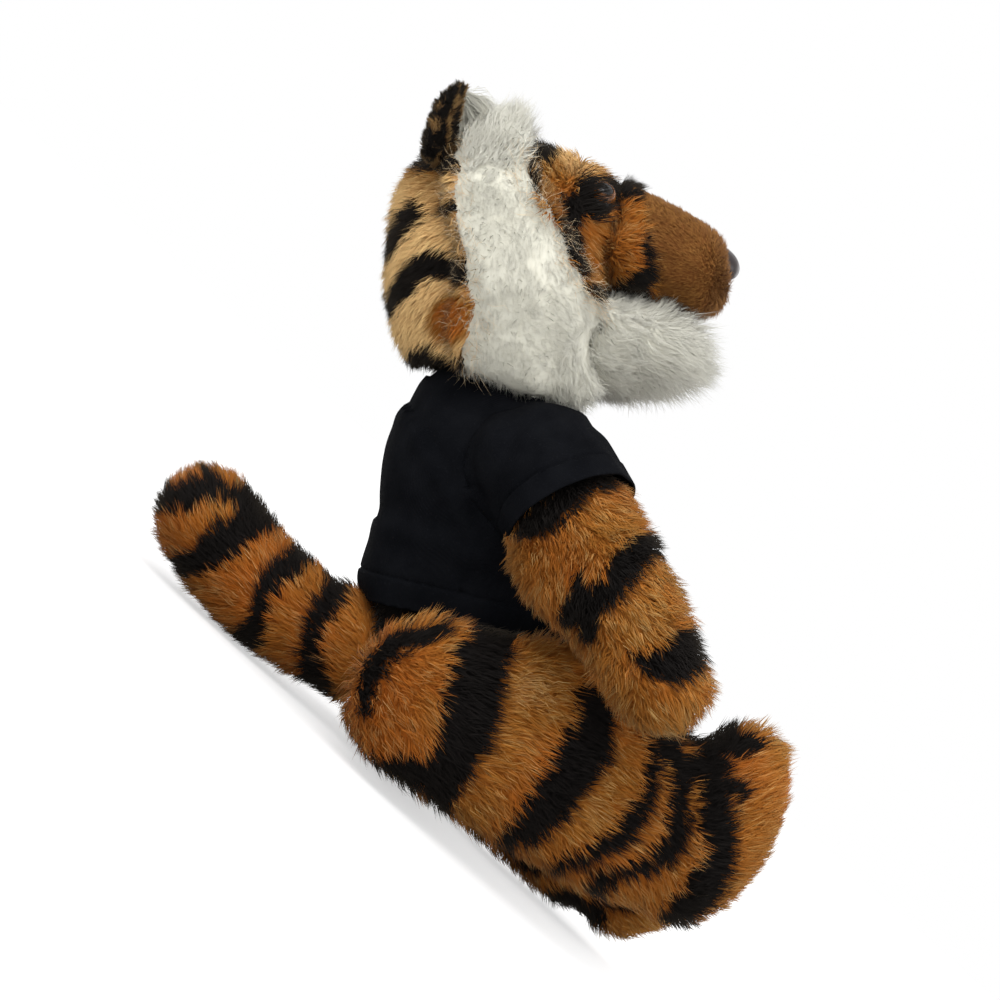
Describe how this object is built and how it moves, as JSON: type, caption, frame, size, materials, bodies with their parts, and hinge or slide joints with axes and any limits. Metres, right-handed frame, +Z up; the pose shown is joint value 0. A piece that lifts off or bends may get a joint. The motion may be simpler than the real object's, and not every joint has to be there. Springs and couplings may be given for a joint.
{
  "type": "plush tiger",
  "caption": "Sitting stuffed tiger of striped long-pile fur with white cheek ruffs and a plain dark T-shirt; head, arms, legs and tail turn at their seams.",
  "frame": {"origin": "middle of the flat patch under the body that the toy sits on", "axes": "+Z up; the toy faces -Y; its own right side is at -X"},
  "size_m": [0.2308, 0.3125, 0.2641],
  "materials": {
    "body_fur": "long-pile orange and black striped fur fabric",
    "head_fur": "light tan and black striped fur fabric",
    "muzzle_fur": "short brown fur fabric",
    "white_fur": "long off-white fur fabric",
    "shirt_jersey": "plain dark cotton jersey",
    "fibre_fill": "loose polyester fibre",
    "bag_cloth": "plain woven bag filled with plastic pellets",
    "black_plastic": "gloss",
    "washer_plastic": "natural"
  },
  "bodies": {
    "torso": {"torso_skin": "body_fur", "torso_stuffing": "fibre_fill", "pellet_bag": "bag_cloth", "shirt_front": "shirt_jersey", "shirt_back": "shirt_jersey", "neckband": "shirt_jersey"},
    "neck": {"neck_stuffing": "fibre_fill"},
    "head": {"head_skin": "head_fur", "head_stuffing": "fibre_fill", "muzzle_skin": "muzzle_fur", "muzzle_stuffing": "fibre_fill", "chin_beard": "white_fur", "cheek_ruff_right": "white_fur", "cheek_ruff_left": "white_fur", "ear_right": "head_fur", "ear_left": "head_fur", "ear_lining_right": "white_fur", "ear_lining_left": "white_fur", "eye_right": "black_plastic", "eye_left": "black_plastic", "eye_washer_right": "washer_plastic", "eye_washer_left": "washer_plastic", "nose": "black_plastic", "nose_washer": "washer_plastic"},
    "tail": {"tail_skin": "body_fur", "tail_stuffing": "fibre_fill"},
    "arm_right": {"arm_skin_right": "body_fur", "arm_stuffing_right": "fibre_fill", "sleeve_right": "shirt_jersey"},
    "leg_right": {"leg_skin_right": "body_fur", "leg_stuffing_right": "fibre_fill", "sole_right": "body_fur"},
    "arm_left": {"arm_skin_left": "body_fur", "arm_stuffing_left": "fibre_fill", "sleeve_left": "shirt_jersey"},
    "leg_left": {"leg_skin_left": "body_fur", "leg_stuffing_left": "fibre_fill", "sole_left": "body_fur"}
  },
  "joints": [
    {"name": "head_turn", "type": "hinge", "parent": "torso", "child": "neck", "pos_m": [0, 0.04751, 0.12671], "axis": [0, 0.4848, 0.8746], "range_deg": [-25, 25], "stiffness_Nm_per_rad": 0.4},
    {"name": "head_nod", "type": "hinge", "parent": "neck", "child": "head", "pos_m": [0, 0.04751, 0.12671], "axis": [1, 0, 0], "range_deg": [-10, 10], "stiffness_Nm_per_rad": 0.6, "springref_deg": 2.58},
    {"name": "arm_right_swing", "type": "hinge", "parent": "torso", "child": "arm_right", "pos_m": [-0.05, 0.02972, 0.14], "axis": [-1, 0, 0], "range_deg": [-22, 50], "stiffness_Nm_per_rad": 0.12, "springref_deg": 4.58},
    {"name": "arm_left_swing", "type": "hinge", "parent": "torso", "child": "arm_left", "pos_m": [0.05, 0.02972, 0.14], "axis": [-1, 0, 0], "range_deg": [-22, 50], "stiffness_Nm_per_rad": 0.12, "springref_deg": 4.58},
    {"name": "leg_right_swing", "type": "hinge", "parent": "torso", "child": "leg_right", "pos_m": [0, 0, 0.041], "axis": [-1, 0, 0], "range_deg": [-13, 12], "stiffness_Nm_per_rad": 0.5, "springref_deg": 3.21},
    {"name": "leg_left_swing", "type": "hinge", "parent": "torso", "child": "leg_left", "pos_m": [0, 0, 0.041], "axis": [-1, 0, 0], "range_deg": [0, 25], "stiffness_Nm_per_rad": 0.5},
    {"name": "tail_wag", "type": "hinge", "parent": "torso", "child": "tail", "pos_m": [0, 0.03983, 0.03035], "axis": [0, 0, 1], "range_deg": [-25, 25], "stiffness_Nm_per_rad": 0.2}
  ]
}
